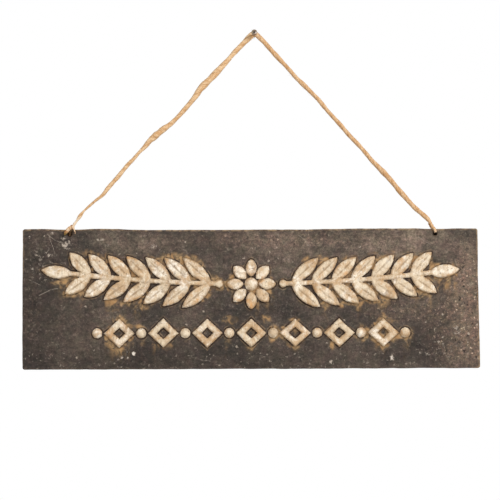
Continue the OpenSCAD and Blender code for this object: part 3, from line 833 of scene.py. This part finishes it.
# What the paint reads at each point: distances in millimetres, and strengths.
maps = {
    "form": np.minimum(forms, dome_foot), "rim": from_edge, "rib": ribs, "hole": near_hole,
    "scored": scored, "seep": seeped, "bruised": np.max(blobs(bruises), axis=0),
    "twine_shadow": twine_shadow, "edge_worn": np.clip(edge_worn, 0.12, 1),
    "speckled": slope(-v, 112, 126),
    "dusty": added(
        (35, -20, 90, 34, 0.5), (150, -14, 75, 26, 0.95), (-110, -14, 60, 18, 0.65),
        (60, -128, 80, 18, 0.12), (218, -60, 22, 90, 0.58)),
    "sooty": added(
        (-230, -76, 64, 130, 1), (-60, -130, 220, 34, 0.8), (-150, -42, 80, 32, 0.6),
        (160, -120, 60, 24, 0.7), (20, -82, 150, 14, 0.4), (70, -134, 130, 20, 0.28),
        (-226, -92, 18, 64, 0.35), (180, -100, 36, 26, 0.5), (212, -26, 26, 16, 0.4)),
    "rusty": added(
        (205, -100, 42, 70, 0.5), (220, -92, 24, 74, 0.8), (218, -50, 26, 60, 0.6),
        (-222, -70, 18, 80, 0.12), (40, -10, 160, 12, 0.4), (150, -82, 60, 16, 0.45)),
    "chipped": added(
        (-185, -13, 11, 9, 1), (-205, -35, 40, 45, 0.55), (142, -131, 8, 8, 0.7),
        (190, -112, 14, 12, 0.7), (-124, -124, 12, 10, 0.5), (5, -20, 60, 24, 0.3),
        (180, -75, 50, 30, 0.35)),
    "scratched": added((-200, -30, 50, 40, 1), (60, -30, 80, 30, 0.6)),
}
values = {key: np.concatenate([m.ravel()] * 2)[used] for key, m in maps.items()}
plate = piece("pressed_plate", points[used], renumber[faces].tolist(), values)
plate.data.polygons.foreach_set("material_index", finish_of.astype(np.int32))

# The plate's front: charcoal paint gone brown and dusty on the ground, cream on the raised
# forms, with ochre stains, rust along the edges, chips and fine scratches.
chips, inside, ends = new_group("chips", ("Scale", "Size", "Share"), "Mask")
tree = chips
jitter = node("TexNoise", {
    "Vector": inside["Vector"], "Scale": 460.0, "Detail": 5.0, "Roughness": 0.7,
})
shaken = node("VectorMath", {0: jitter.outputs["Color"], 1: (0.0065,) * 3}, operation="MULTIPLY")
moved = node("VectorMath", {0: inside["Vector"], 1: shaken.outputs[0]})
cell = node("TexVoronoi", {"Vector": moved.outputs[0], "Scale": inside["Scale"]})
lot = node("SeparateColor", {"Color": cell.outputs["Color"]}).outputs
chosen = maths("LESS_THAN", lot[0], inside["Share"])
own_size = times(inside["Size"], between(lot[1], 0, 1, 0.45, 1))
dot = between(cell.outputs["Distance"], times(own_size, 0.7), own_size, 1, 0)
feed(ends, {"Mask": times(dot, chosen)})

scratches, inside, ends = new_group("scratches", ("Turn", "Scale"), "Mask")
tree = scratches
way = node("CombineXYZ", {"Y": inside["Turn"]}).outputs[0]
laid = node(
    "VectorRotate", {"Vector": inside["Vector"], "Rotation": way}, rotation_type="EULER_XYZ")
fine = noise(mapped(laid.outputs[0], (1.0, 1.0, 0.09)), inside["Scale"], 2.0, 0.5, 0.25)
ridge = maths("ABSOLUTE", maths("SUBTRACT", fine, 0.5))
unbroken = between(noise(inside["Vector"], 45.0, 3), 0.5, 0.62)
feed(ends, {"Mask": times(between(ridge, 0.0, 0.006, 1, 0), unbroken)})

worn, tree, surface = new_material("worn_paint")
spot = node("TexCoord").outputs["Object"]
at = {key: attribute(key) for key in maps}
form = at["form"]


def shifted(x, y, z):
    """The place on the plate moved far enough for a noise of the same scale to differ."""
    return node("VectorMath", {0: spot, 1: (x, y, z)}).outputs[0]


def graded(under, value, low, high, darkest, lightest, share=1.0):
    """under multiplied by red, green and blue factors that follow value from low to high."""
    factors = tinted(between(value, low, high), (*darkest, 1), (*lightest, 1))
    return tinted(share, under, factors, "MULTIPLY")


broad = noise(spot, 22.0, 5, 0.6, 0.5)
fine_grain = noise(spot, 420.0, 5, 0.7)
coarse_grain = noise(spot, 150.0, 5, 0.65, 0.6)
mottled = noise(spot, 130.0, 6, 0.68, 0.8)
smeared = noise(spot, 135.0, 3, 0.5, 1.2)
gritty = noise(shifted(3.1, 4.1, 5.9), 520.0, 4, 0.75)
haze = between(noise(spot, 62.0, 8, 0.74, 0.5), 0.36, 0.62, 0.2, 1)
ground = layered(
    tinted(between(broad, 0.35, 0.65), tone(54, 48, 43), tone(84, 74, 65)),
    ((94, 79, 67), 0.3, use(blotches, spot, 50, 0.42, 0.16, 0.72)),
    ((47, 41, 38), 0.5, use(blotches, shifted(2.7, 0.4, 6.1), 62, 0.36, 0.14, 0.76)),
    ((40, 34, 30), 0.72, at["sooty"]),
    ((134, 117, 102), 0.72, at["dusty"], haze),
)
ground = graded(ground, gritty, 0.34, 0.66, (0.76, 0.75, 0.74), (1.26, 1.26, 1.26), at["dusty"])
pale_spots = times(0.3, use(blotches, spot, 210, 0.24, 0.06, 0.7))
smudges = times(0.34, use(blotches, shifted(4.4, 1.2, 0.9), 120, 0.2, 0.08, 0.75))
ground = layered(ground, ((140, 128, 116), maths("ADD", pale_spots, smudges)))
old_rust = layered(use(rust, spot, 420), ((110, 96, 84), 0.75))
rusting = times(0.75, at["rusty"], use(blotches, spot, 160, 0.55, 0.1, 0.75))
pitted = times(use(chips, spot, 240, 0.48, 0.32), maths("ADD", at["rusty"], 0.2))
ground = layered(
    tinted(rusting, ground, old_rust),
    ((172, 152, 131), at["rusty"], use(chips, spot, 300, 0.46, 0.42)),
    ((42, 34, 30), pitted),
)
# the ground is uneven in hue, in fine and finer grain, and in smears wiped across
for value, low, high, darkest, lightest in (
    (noise(shifted(7.7, 3.3, 1.1), 120.0, 6, 0.7), 0.36, 0.64,
     (1.05, 0.97, 1.01), (0.97, 1.01, 0.96)),
    (fine_grain, 0.32, 0.68, (0.69, 0.69, 0.69), (1.32, 1.31, 1.29)),
    (noise(spot, 900.0, 3, 0.7), 0.35, 0.65, (0.78, 0.78, 0.78), (1.23, 1.23, 1.23)),
    (noise(mapped(spot, (0.4, 1, 1), 0.3), 150.0, 5, 0.66, 2.2), 0.38, 0.62,
     (0.82, 0.82, 0.82), (1.2, 1.19, 1.18)),
):
    ground = graded(ground, value, low, high, darkest, lightest)
specks = use(chips, shifted(1.3, 2.2, 0.7), 260, 0.4, 0.3)
lines = maths("MAXIMUM", use(scratches, spot, 0.35, 150), use(scratches, spot, -0.9, 110))
ground = layered(
    ground,
    ((140, 128, 115), specks, between(at["speckled"], 0, 1, 0.3, 0.7)),
    ((148, 132, 116), 0.5, at["scratched"], lines),
)
# ochre crusts in patches round the forms, orange at their hearts
seeping = between(times(at["seep"], between(smeared, 0.34, 0.62, 0.3, 1.2)), 0.0, 0.95, 0, 0.9)
ochre = tinted(between(coarse_grain, 0.36, 0.62), tone(108, 84, 60), tone(176, 144, 102))
ochre = layered(ochre, ((188, 143, 92), between(smeared, 0.5, 0.66, 0, 0.6)))
ground = tinted(seeping, ground, ochre)
# the bare metal of chips, ragged bruises and scored lines
chip = maths("MAXIMUM", use(chips, spot, 230, 0.5, 0.5), use(chips, spot, 420, 0.4, 0.28))
chip = times(chip, between(at["chipped"], 0.25, 0.9, 0, 0.8))
ragged = times(maths("SUBTRACT", noise(spot, 480.0, 5, 0.7, 1.0), 0.53), 8.0)
torn = between(maths("ADD", at["bruised"], ragged), 0.35, 0.8)
bruise = times(torn, between(at["bruised"], 0.0, 0.7))
score = times(between(at["scored"], 0.15, 0.6, 0.5, 0), between(coarse_grain, 0.35, 0.55))
bare_metal = tinted(between(at["bruised"], 1.1, 1.8), tone(178, 164, 149), tone(216, 206, 194))
ground = tinted(maths("MAXIMUM", maths("MAXIMUM", chip, bruise), score), ground, bare_metal)
near_hole_edge = maths("ADD", at["hole"], times(coarse_grain, 3.0))
soft_rim = maths("SUBTRACT", at["rim"], times(coarse_grain, 3.2))
rim_wear = times(between(soft_rim, -1.3, 0.6, 0.85, 0), at["edge_worn"])
rim_colour = tinted(between(mottled, 0.42, 0.58), tone(84, 64, 50), tone(150, 126, 96))
ground = layered(
    ground,
    ((176, 160, 143), 0.7, use(chips, spot, 120, 0.16, 0.22)),
    ((58, 40, 26), 0.5, between(near_hole_edge, 3.2, 5.6, 0.85, 0)),
)
# a broken brown line of rust at the foot of each form, a darker broken line of grime and painted
# shade there too, and the worn edge of its shelf
foot = between(form, -0.4, 0.1)
broken = noise(shifted(2.2, 6.6, 1.4), 85.0, 4, 0.6, 1.0)
grime_and_shade = times(between(coarse_grain, 0.34, 0.5, 0.5, 0.95), between(broken, 0.38, 0.54, 0.3, 1.0))
shelf_edge = times(between(form, 1.2, 1.75), between(form, 1.9, 2.7, 1, 0))
shelf_wear = times(between(coarse_grain, 0.44, 0.6), between(smeared, 0.42, 0.58, 0.3, 1.0))
ground = layered(
    tinted(rim_wear, ground, rim_colour),
    # painted shadow round the twine at the holes
    ((56, 38, 20), 0.85, at["twine_shadow"]),
    ((112, 84, 56), foot, between(form, 0.8, 2.2, 1, 0), between(broken, 0.36, 0.5, 0.6, 0.0)),
    # grime and painted shade in the crease at each form's foot
    ((40, 23, 10), foot, between(form, 0.5, 2.3, 1, 0), grime_and_shade, between(seeping, 0.2, 0.8, 1, 0.35)),
    ((160, 134, 104), 0.48, shelf_edge, shelf_wear),
)

cream = layered(
    tinted(between(broad, 0.36, 0.64), tone(215, 196, 168), tone(229, 212, 186)),
    ((245, 234, 217), 0.85, use(blotches, shifted(5.2, 2.6, 3.9), 52, 0.4, 0.05, 0.76)),
    ((214, 206, 193), 0.65, use(blotches, shifted(8.2, 0.6, 7.9), 64, 0.3, 0.05, 0.76)),
    ((189, 151, 107), 0.72, use(blotches, spot, 60, 0.42, 0.06, 0.78)),
    ((203, 150, 92), 0.8, use(blotches, shifted(6.1, 8.3, 0.4), 48, 0.27, 0.06, 0.7)),
    ((128, 90, 58), 0.7, use(blotches, shifted(0.7, 9.2, 4.6), 170, 0.16, 0.05, 0.7)),
    ((184, 156, 122), between(mottled, 0.47, 0.62, 0, 0.6)),
    ((146, 126, 108), 0.6, use(blotches, shifted(3.1, 1.7, 5.3), 90, 0.32, 0.06, 0.76)),
    ((176, 132, 84), 0.65, use(blotches, shifted(1.9, 4.3, 2.2), 70, 0.4, 0.07, 0.76),
     between(form, -4.2, -0.8)),
)
brushing = noise(mapped(spot, (1, 1, 0.2), 0.5), 700.0, 3, 0.6)
cream = layered(
    graded(cream, brushing, 0.3, 0.7, (0.88, 0.87, 0.86), (1.07, 1.07, 1.07)),
    ((104, 82, 62), 0.65, use(chips, spot, 360, 0.34, 0.24)),
    ((146, 118, 84), 0.45, between(form, -1.9, -0.7), between(mottled, 0.42, 0.58)),
    # painted shade in the grooves of the leaves' ribs
    ((128, 98, 66), 0.6, between(at["rib"], -0.3, 0.5, 1, 0), between(mottled, 0.35, 0.6, 0.4, 1)),
)

frayed = maths("ADD", form, times(maths("SUBTRACT", fine_grain, 0.5), 2.0))
painted = between(frayed, -0.3, 0.05, 1, 0)
height = maths("ADD", times(fine_grain, 0.6), times(coarse_grain, 0.8))
height = maths("SUBTRACT", height, times(pitted, 0.5))
height = maths("ADD", height, times(painted, 0.25))
feed(surface, {
    "Base Color": tinted(painted, ground, cream), "Specular IOR Level": 0.25,
    "Roughness": between(coarse_grain, 0.3, 0.7, 0.62, 0.85), "Normal": bumps(height, 0.5, 0.0004),
})

# The plate's back: unpainted steel, dull brown with old rust.
rusted_back, tree, surface = new_material("rusted_back")
spot = node("TexCoord").outputs["Object"]
grain = noise(spot, 380.0, 5, 0.7)
mill = use(blotches, spot, 40, 0.55, 0.15, 0.7)
back_colour = layered(use(rust, spot, 160), ((84, 74, 68), 0.7, mill))
feed(surface, {
    "Base Color": graded(back_colour, grain, 0.3, 0.7, (0.7, 0.69, 0.68), (1.3, 1.28, 1.25)),
    "Roughness": between(grain, 0.3, 0.7, 0.6, 0.85), "Specular IOR Level": 0.3,
    "Normal": bumps(grain, 0.5, 0.0004),
})

# The walls of the two holes: near black over a rust colour, painted as the shade inside the holes.
shaded_hole_wall, tree, surface = new_material("shaded_hole_wall")
wall_rust = use(rust, node("TexCoord").outputs["Object"], 700)
feed(surface, {
    "Base Color": layered(wall_rust, ((8, 4, 2), 0.97)), "Roughness": 0.9,
    "Specular IOR Level": 0.1,
})

for finish in (worn, rusted_back, shaded_hole_wall):
    plate.data.materials.append(finish)
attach(plate, "plate")
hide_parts("sign_plate")

# The ties: at each hole the twine goes through, up behind the plate and round itself in a
# knot of two turns. Points are from the hole's centre in the hanging plane, as x, y, z, radius.
LOOP_R = 1.3
LEG_Y = 2.5
TURN_UP = HOLE_R + math.sqrt((LEG_Y - LOOP_R - 0.3) ** 2 - SHEET**2)
hole_turn = [
    (0, -LEG_Y * math.cos(math.radians(a)), TURN_UP - LEG_Y * math.sin(math.radians(a)))
    for a in range(0, 181, 30)
]
left_hole, right_hole = [(PLATE_X + hole_u, HANG_Y, TOP_Z - HOLE_DROP) for hole_u in HOLES_U]


def from_hole(hole, route, radius=LOOP_R):
    """A route from a hole's centre as a line in the sign's frame, with a radius to each point."""
    full = [(*p, radius) if len(p) == 3 else p for p in route]
    return spline([(hole[0] + a, hole[1] + b, hole[2] + c, r) for a, b, c, r in full], 5)


def coil(centre, lean, turns, around, wire, rise):
    """A line of radius wire that winds round an axis, which leans by lean degrees."""
    a = math.radians(lean)
    axis = np.array([math.sin(a), 0, math.cos(a)])
    one, two = np.array([math.cos(a), 0, -math.sin(a)]), np.array([0, 1, 0])
    line = []
    for turn in np.linspace(0, turns, int(turns * 16) + 1):
        angle = 2 * math.pi * turn + 2.2
        tuck = slope(np.minimum(turn, turns - turn), 0, 0.22)
        reach = around * (0.55 + 0.45 * tuck)
        at = reach * (math.cos(angle) * one + math.sin(angle) * two)
        at = at + axis * rise * (turn - turns / 2)
        line.append((*(np.array(centre) + at), wire * (0.8 + 0.2 * tuck)))
    return np.array(line)


left_loop_line = from_hole(left_hole, [
    (4.3, 0, 10.5), (3.5, -0.8, 8.7), (3, -1.9, 7.1), (2.1, -2.7, 5.4), *hole_turn,
    (0, LEG_Y, 4.8), (-0.2, 1.9, 6.5), (-0.2, 0, 6.9), (-0.4, -1.9, 6.6), (-0.9, -3.2, 5.9),
])
right_loop_line = from_hole(right_hole, [
    (-4.1, 0, 10.5), (-3.5, -0.8, 8.6), (-2.7, -1.9, 7), (-1.1, -2.7, 5.2), *hole_turn,
    (-0.9, LEG_Y, 4.6), (-3, 2.5, 6.2), (-4.3, 1.9, 8.4), (-4.9, 1.4, 11), (-5.6, 1.3, 13.6),
])
left_knot_line = coil(
    (left_hole[0] + 1.7, HANG_Y - LEG_Y - 0.6, TOP_Z + 1.9),
    lean=40, turns=2.3, around=1.3, wire=0.9, rise=1.5)
right_knot_line = coil(
    (right_hole[0] - 3.9, HANG_Y + 0.7, right_hole[2] + 9),
    lean=-34, turns=2.3, around=1.2, wire=0.9, rise=2.1)
tail_lines = [
    from_hole(left_hole, [
        (0.9, -4.4, 6.9, 1.5), (-0.8, -4.8, 5.3, 1.8), (-2.4, -4.8, 3.5, 1.7),
        (-3.9, -4.4, 1.5, 1.4), (-4.7, -4.1, -0.2, 0.9)]),
    from_hole(left_hole, [
        (2.8, -4.3, 7.6, 1.1), (4.1, -4.7, 6, 0.85), (5.2, -4.5, 3.4, 0.45), (5.9, -4.1, 0.6, 0.2)]),
]

# The ties' jute is the same, but duller, darkened by handling, olive in places, and painted near
# black as shade where it lies in the holes and between the legs above the left one.
handled_jute = jute.copy()
handled_jute.name = "handled_jute"
tree = handled_jute.node_tree
surface = next(n for n in tree.nodes if n.type == "BSDF_PRINCIPLED")
spot = node("TexCoord").outputs["Object"]
feed(surface, {
    "Base Color": layered(
        surface.inputs["Base Color"].links[0].from_socket,
        ((164, 112, 66), attribute("handled"), use(blotches, spot, 330, 0.62, 0.12, 0.5)),
        ((112, 98, 50), attribute("olive_tint")),
        # painted shade: near black where the twine lies in the holes and between the legs
        ((9, 4, 2), attribute("hole_shade")),
    ),
    "Sheen Weight": 0.0, "Specular IOR Level": 0.06,
})


def close_to(at_x, at_z, near, far):
    """1 within near millimetres of a point that is given from the hole's centre, 0 beyond far."""
    return slope(-np.hypot(x - at_x, z - at_z), -far, -near)


for name, node_name, lines, lay, handled in (
    ("left_loop_twine", "left_loop", [left_loop_line], 10, 0.8),
    ("left_knot_twine", "left_knot", [left_knot_line], 8, 0.8),
    ("left_tail_ends", "left_tails", tail_lines, 8, 0.5),
    ("right_loop_twine", "right_loop", [right_loop_line], 10, 0.1),
    ("right_knot_twine", "right_knot", [right_knot_line], 8, 0.9),
):
    points, faces, values = joined([two_ply(line, lay, sides=18, step=0.4) for line in lines])
    x, _, z = (points - (left_hole if name.startswith("left") else right_hole)).T
    values["handled"] = np.full(len(points), handled)
    if node_name == "left_loop":
        high_up = slope(z, 6, 8)
        values["handled"] *= 1 - high_up
        values["pale_and_highlit"] = 0.55 * high_up
        # painted shade between the legs just above the left hole
        values["hole_shade"] = 0.86 * close_to(1.2, 2.6, 2.9, 5.0)
    if node_name == "right_loop":
        values["pale_and_highlit"] = 0.25 * slope(6 - z, 0, 3)
        # painted shade where the loop lies in the right hole
        values["hole_shade"] = 0.995 * close_to(0.4, -0.8, 1.9, 3.0)
    if node_name == "left_tails":
        # the left tail is olive low down, with a painted highlight at its bend and painted shade
        # along its outer left side, and the right one is thin and pale
        on_left = x < 1
        highlit_bend = close_to(-1.4, 4.6, 0.8, 2.6) * on_left
        values["olive_tint"] = 0.85 * slope(2.4 - z, 0, 2.4) * on_left
        values["handled"] = np.where(on_left, 0.7 * (1 - highlit_bend), 0.6 * slope(4 - z, 0, 3))
        values["pale_and_highlit"] = np.where(on_left, 0.45 * highlit_bend, 0.35)
        values["darkened"] = 0.6 * slope(-2.6 - x, 0, 2) * on_left
    tie = piece(name, points, faces, values)
    tie.data.materials.append(handled_jute)
    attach(tie, "plate")
    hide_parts(node_name)

tie_hairs = [
    hairs(line, count=16, longest=3.2, thickness=0.06, from_end=1.0)
    for line in (left_loop_line, right_loop_line)
] + [
    hairs(line, count=14, longest=3.0, thickness=0.06)
    for line in (left_knot_line, right_knot_line, *tail_lines)
]
tie_fuzz = piece("tie_fuzz", *joined(tie_hairs))
tie_fuzz.data.materials.append(jute)
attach(tie_fuzz, "plate")

# The studio: a pale floor well below the sign, white all round as the camera and reflections
# see it, a large soft lamp from the upper right and a weaker one from the left.
FLOOR_R, FLOOR_Z, FLOOR_SIDES = 5, -1.3, 96
PALE = tone(236, 235, 233)
around = [2 * math.pi * i / FLOOR_SIDES for i in range(FLOOR_SIDES)]
floor_mesh = bpy.data.meshes.new("studio_floor")
floor_mesh.from_pydata(
    [(FLOOR_R * math.cos(a), FLOOR_R * math.sin(a), FLOOR_Z) for a in around],
    [], [tuple(range(FLOOR_SIDES))],
)
floor = bpy.data.objects.new("studio_floor", floor_mesh)
bpy.context.scene.collection.objects.link(floor)


def seen_not_lighting():
    """1 for what the camera, a reflection or clear glass shows, and 0 for light on the sign."""
    rays = node("LightPath").outputs
    seen = maths("MAXIMUM", rays["Is Camera Ray"], rays["Is Glossy Ray"])
    return maths("MAXIMUM", seen, rays["Is Transmission Ray"])


# The floor glows where it is seen, so that it shows as pale as the white behind it, but throws
# none of that light on the sign.
floor_finish, tree, surface = new_material("pale_floor")
feed(surface, {
    "Base Color": PALE, "Roughness": 0.9, "Emission Color": PALE,
    "Emission Strength": times(seen_not_lighting(), 0.5),
})
floor.data.materials.append(floor_finish)
floor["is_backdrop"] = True

for name, place, power, size in (
    ("key_lamp", (0.95, -1.25, 0.55), 25, 0.75),
    ("fill_lamp", (-1.3, -1.6, -0.1), 11.5, 1.2),
):
    lamp_data = bpy.data.lights.new(name, "AREA")
    lamp_data.energy = power
    lamp_data.size = size
    lamp = bpy.data.objects.new(name, lamp_data)
    lamp.location = place
    aim = Vector((0, 0, -0.24)) - lamp.location
    lamp.rotation_euler = aim.to_track_quat("-Z", "Y").to_euler()
    bpy.context.scene.collection.objects.link(lamp)

world = bpy.data.worlds.new("studio")
bpy.context.scene.world = world
world.use_nodes = True
tree = world.node_tree
tree.nodes.clear()
strength = between(seen_not_lighting(), 0, 1, 0.4, 1.0)
backdrop = node("Background", {"Color": (1, 1, 1, 1), "Strength": strength})
node("OutputWorld", {"Surface": backdrop.outputs[0]})

low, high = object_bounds()
